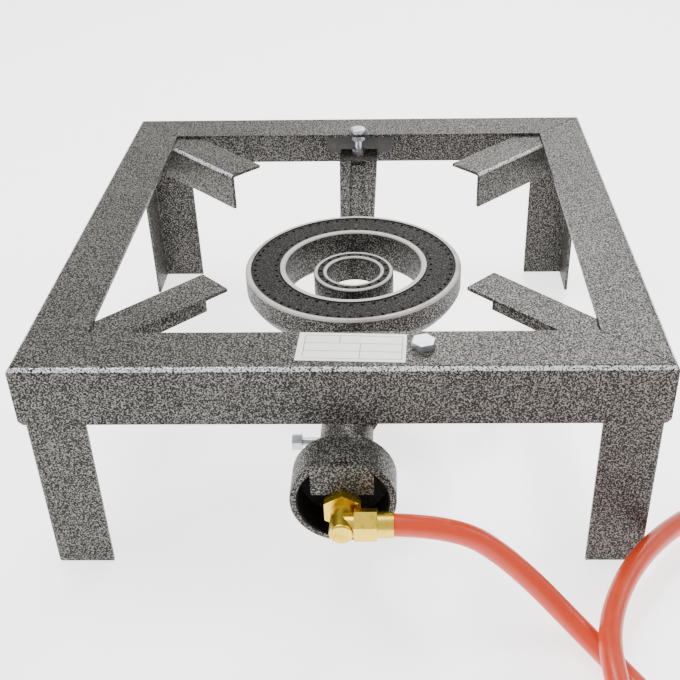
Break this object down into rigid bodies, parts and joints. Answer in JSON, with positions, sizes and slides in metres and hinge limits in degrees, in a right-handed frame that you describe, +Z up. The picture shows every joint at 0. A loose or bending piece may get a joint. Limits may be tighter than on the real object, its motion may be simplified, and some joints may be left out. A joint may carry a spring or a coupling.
{
  "type": "propane burner stand",
  "caption": "Square steel-angle stand with pan supports, a cast double-ring gas burner, a sliding air bell and an orange hose.",
  "frame": {"origin": "on the floor, under the middle of the stand's box with the bell and elbow, hose left out", "axes": "+Z up; -Y towards the front, where the bell and the gas inlet are; +X to the right seen from the front"},
  "size_m": [0.5968, 0.6625, 0.1646],
  "materials": {
    "hammered_paint": "hammertone charcoal and silver paint",
    "cast_iron": "rough black casting with bare machined edges",
    "zinc": "zinc plated",
    "black_steel": "satin black",
    "brass": "plain machined",
    "hose_rubber": "smooth orange",
    "label_film": "white film with ruled lines"
  },
  "bodies": {
    "stand": {"front_rail": "hammered_paint", "back_rail": "hammered_paint", "left_rail": "hammered_paint", "right_rail": "hammered_paint", "leg_front_left": "hammered_paint", "leg_front_right": "hammered_paint", "leg_back_left": "hammered_paint", "leg_back_right": "hammered_paint", "arm_front_left": "hammered_paint", "arm_front_right": "hammered_paint", "arm_back_left": "hammered_paint", "arm_back_right": "hammered_paint", "weld_beads": "hammered_paint", "burner_casting": "cast_iron", "outer_flame_ring": "cast_iron", "inner_flame_ring": "cast_iron", "ring_screws": "zinc", "front_bolt": "zinc", "front_nut": "zinc", "back_bolt": "zinc", "back_nuts": "zinc", "rear_strap": "black_steel", "rating_label": "label_film"},
    "air_mixer": {"air_bell": "cast_iron", "jet_bridge": "black_steel", "injector": "brass", "brass_elbow": "brass", "hose_tail": "brass", "ferrule": "brass", "gas_hose": "hose_rubber", "far_ferrule": "brass", "far_tail": "brass"},
    "lock_screw": {"lock_screw": "zinc"},
    "hose_nut": {"hose_nut": "brass"},
    "far_nut": {"far_nut": "brass"}
  },
  "joints": [
    {"name": "air_mixer_slide", "type": "slide", "parent": "stand", "child": "air_mixer", "axis": [0, -1, 0], "range_m": [0, 0.01]},
    {"name": "lock_screw_turn", "type": "hinge", "parent": "air_mixer", "child": "lock_screw", "pos_m": [-0.022, -0.1415, 0.0804], "axis": [-1, 0, 0], "continuous": true},
    {"name": "hose_nut_turn", "type": "hinge", "parent": "air_mixer", "child": "hose_nut", "pos_m": [0.014, -0.2195, 0.0804], "axis": [1, 0, 0], "continuous": true},
    {"name": "far_nut_turn", "type": "hinge", "parent": "air_mixer", "child": "far_nut", "pos_m": [0.33498, -0.42259, 0.011], "axis": [0.9986, 0.0535, 0], "continuous": true}
  ]
}
